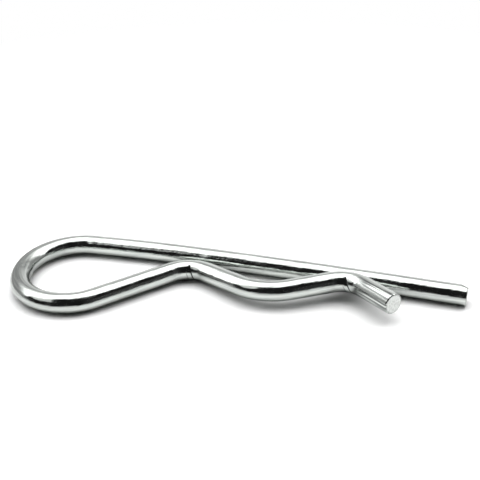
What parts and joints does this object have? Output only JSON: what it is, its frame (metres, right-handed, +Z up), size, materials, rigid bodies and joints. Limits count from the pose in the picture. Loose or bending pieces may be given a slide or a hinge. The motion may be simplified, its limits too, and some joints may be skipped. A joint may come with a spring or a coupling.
{
  "type": "hitch r clip pin",
  "caption": "Bright-plated spring-wire R clip: a straight leg, a round head loop and a wavy limb that grips a shaft.",
  "frame": {"origin": "centre of the clip's box, on the surface that it lies on", "axes": "+X along the straight leg toward its cut tip, +Y from the bent limb toward the straight leg, +Z up from the surface"},
  "size_m": [0.0818, 0.0261, 0.0058],
  "materials": {
    "plated_wire": "bright zinc plate over drawn spring-steel wire"
  },
  "bodies": {
    "root": {"clip": "plated_wire"}
  },
  "joints": []
}
